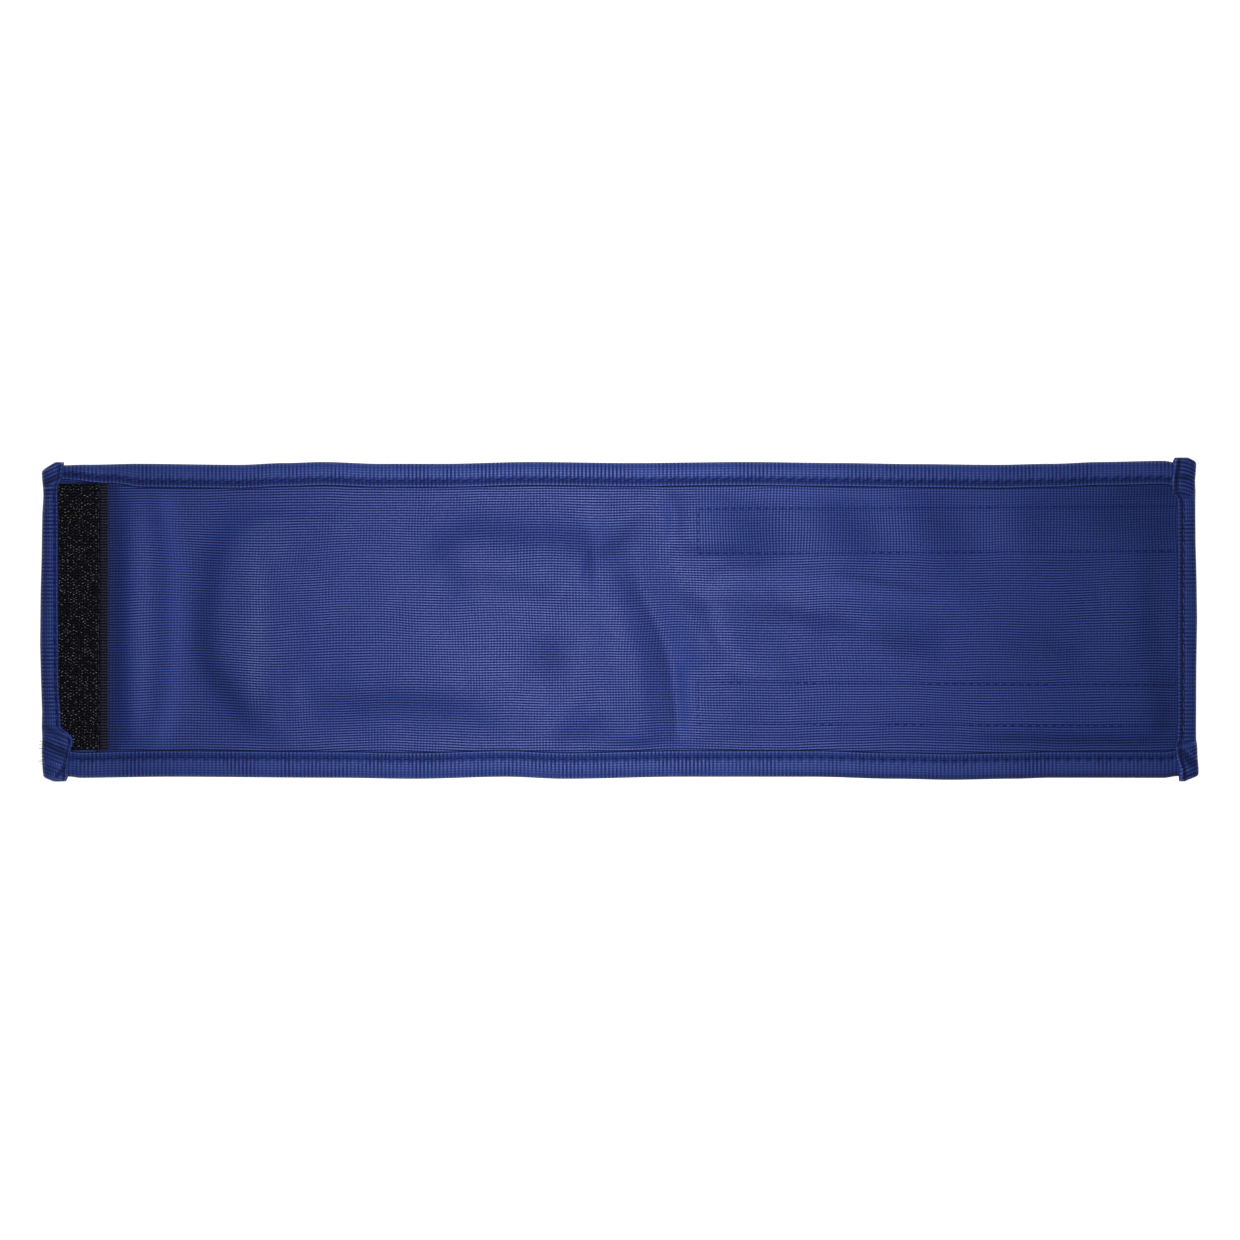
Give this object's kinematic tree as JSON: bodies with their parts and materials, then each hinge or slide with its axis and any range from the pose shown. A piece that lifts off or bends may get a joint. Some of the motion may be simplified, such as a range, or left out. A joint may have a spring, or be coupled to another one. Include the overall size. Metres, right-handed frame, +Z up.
{
  "type": "fabric armband",
  "caption": "Wide knitted armband lying open and flat, with bound edges, hook tape across one end inside and long loop tapes outside at the other end.",
  "frame": {"origin": "on the table under the middle of the armband, which lies open with its inner face up", "axes": "+X along the band from the hook tape's end to the loop tapes' end, +Y across the band, +Z up out of the inner face"},
  "size_m": [0.4512, 0.126, 0.0083],
  "materials": {
    "blue_knit": "matt double knit with a soft sheen",
    "blue_binding": "matt ribbed knit",
    "black_hook_tape": "woven nylon tape with stiff hooks",
    "black_loop_tape": "woven nylon tape with soft brushed loops"
  },
  "bodies": {
    "root": {"body_panel": "blue_knit", "hook_strip": "black_hook_tape", "loop_strip_upper": "black_loop_tape", "loop_strip_lower": "black_loop_tape", "binding_upper": "blue_binding", "binding_lower": "blue_binding", "binding_left": "blue_binding", "binding_right": "blue_binding"}
  },
  "joints": []
}
